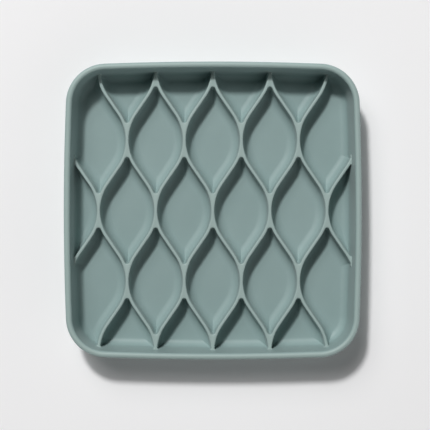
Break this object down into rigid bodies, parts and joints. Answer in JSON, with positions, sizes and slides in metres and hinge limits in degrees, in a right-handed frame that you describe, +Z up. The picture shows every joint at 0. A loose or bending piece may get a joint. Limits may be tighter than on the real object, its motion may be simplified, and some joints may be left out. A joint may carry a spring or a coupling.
{
  "type": "slow feeder bowl",
  "caption": "Square silicone slow feeder tray for pets, with a lattice of wavy ribs that parts the food into leaf-shaped pockets and suction cups underneath.",
  "frame": {"origin": "on the ground under the middle of the tray", "axes": "+Z up, +Y along the ribs towards the rear, +X to the right"},
  "size_m": [0.2, 0.2, 0.028],
  "materials": {
    "silicone": "matte moulded silicone, sage green"
  },
  "bodies": {
    "tray": {"tray_shell": "silicone", "wave_rib_left_1": "silicone", "wave_rib_left_2": "silicone", "wave_rib_left_3": "silicone", "wave_rib_left_4": "silicone", "wave_rib_right_1": "silicone", "wave_rib_right_2": "silicone", "wave_rib_right_3": "silicone", "wave_rib_right_4": "silicone", "side_rib_left": "silicone", "side_rib_right": "silicone", "cup_neck_front_left": "silicone", "cup_neck_front_right": "silicone", "cup_neck_rear_left": "silicone", "cup_neck_rear_right": "silicone"},
    "lip_front_left": {"cup_lip_front_left": "silicone"},
    "lip_front_right": {"cup_lip_front_right": "silicone"},
    "lip_rear_left": {"cup_lip_rear_left": "silicone"},
    "lip_rear_right": {"cup_lip_rear_right": "silicone"}
  },
  "joints": [
    {"name": "press_front_left", "type": "slide", "parent": "tray", "child": "lip_front_left", "axis": [0, 0, 1], "range_m": [0, 0.0008], "stiffness_N_per_m": 2000, "springref_m": -0.0006},
    {"name": "press_front_right", "type": "slide", "parent": "tray", "child": "lip_front_right", "axis": [0, 0, 1], "range_m": [0, 0.0008], "stiffness_N_per_m": 2000, "springref_m": -0.0006},
    {"name": "press_rear_left", "type": "slide", "parent": "tray", "child": "lip_rear_left", "axis": [0, 0, 1], "range_m": [0, 0.0008], "stiffness_N_per_m": 2000, "springref_m": -0.0006},
    {"name": "press_rear_right", "type": "slide", "parent": "tray", "child": "lip_rear_right", "axis": [0, 0, 1], "range_m": [0, 0.0008], "stiffness_N_per_m": 2000, "springref_m": -0.0006}
  ]
}
